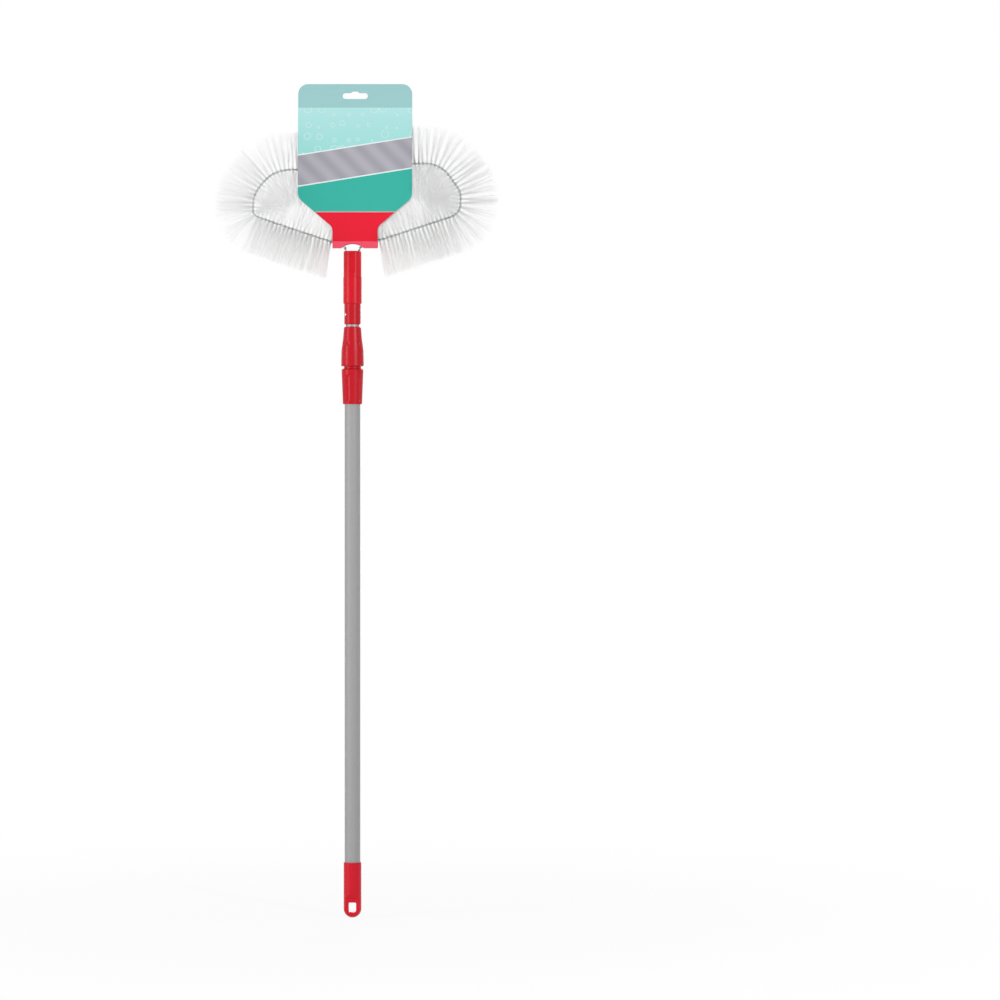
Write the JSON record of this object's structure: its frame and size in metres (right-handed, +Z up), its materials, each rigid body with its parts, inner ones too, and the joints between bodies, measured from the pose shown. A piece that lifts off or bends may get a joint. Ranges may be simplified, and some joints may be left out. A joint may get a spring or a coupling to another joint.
{
  "type": "telescopic cobweb brush",
  "caption": "Cobweb brush: a loop of clear bristles on twisted wire, screwed to a telescopic pole with a twist lock and a capped hanging end, in a folded printed card.",
  "frame": {"origin": "on the pole's axis, where the bare outer tube leaves the end cap and the lower hand grips it", "axes": "+Z up along the pole to the brush head, +X to the right of the front view, front facing -Y"},
  "size_m": [0.3617, 0.096, 1.0665],
  "materials": {
    "coated_steel": "satin",
    "red_plastic": "satin",
    "natural_plastic": "matte",
    "bare_steel": "drawn",
    "galvanised_wire": "galvanised",
    "bristle": "clear",
    "printed_card": "semi-gloss print"
  },
  "bodies": {
    "handle": {"outer_tube": "coated_steel", "end_cap": "red_plastic", "lock_base": "red_plastic"},
    "clamp_ring": {"clamp_ring": "natural_plastic"},
    "twist_nut": {"twist_nut": "red_plastic"},
    "guide_ring": {"guide_ring": "natural_plastic"},
    "inner_pole": {"inner_tube": "bare_steel", "inner_plug": "natural_plastic", "threaded_tip": "red_plastic", "tip_rivet": "bare_steel"},
    "head": {"brush_socket": "red_plastic", "wire_core": "galvanised_wire", "outer_bristles": "bristle", "inner_bristles": "bristle", "front_bristles": "bristle", "back_bristles": "bristle", "header_card": "printed_card"}
  },
  "joints": [
    {"name": "extension", "type": "slide", "parent": "handle", "child": "guide_ring", "axis": [0, 0, 1], "range_m": [0, 0.642]},
    {"name": "pole_spin", "type": "hinge", "parent": "guide_ring", "child": "inner_pole", "pos_m": [0, 0, 0], "axis": [0, 0, 1], "continuous": true},
    {"name": "head_unscrew", "type": "slide", "parent": "inner_pole", "child": "head", "axis": [0, 0, 1], "range_m": [0, 0.03]},
    {"name": "clamp_lift", "type": "slide", "parent": "handle", "child": "clamp_ring", "axis": [0, 0, 1], "range_m": [0, 0.00226]},
    {"name": "lock_twist", "type": "hinge", "parent": "clamp_ring", "child": "twist_nut", "pos_m": [0, 0, 0.65], "axis": [0, 0, 1], "range_deg": [0, 270]}
  ],
  "couplings": [
    {"joint": "clamp_lift", "follows": "lock_twist", "m_per_rad": 0.00047746}
  ]
}
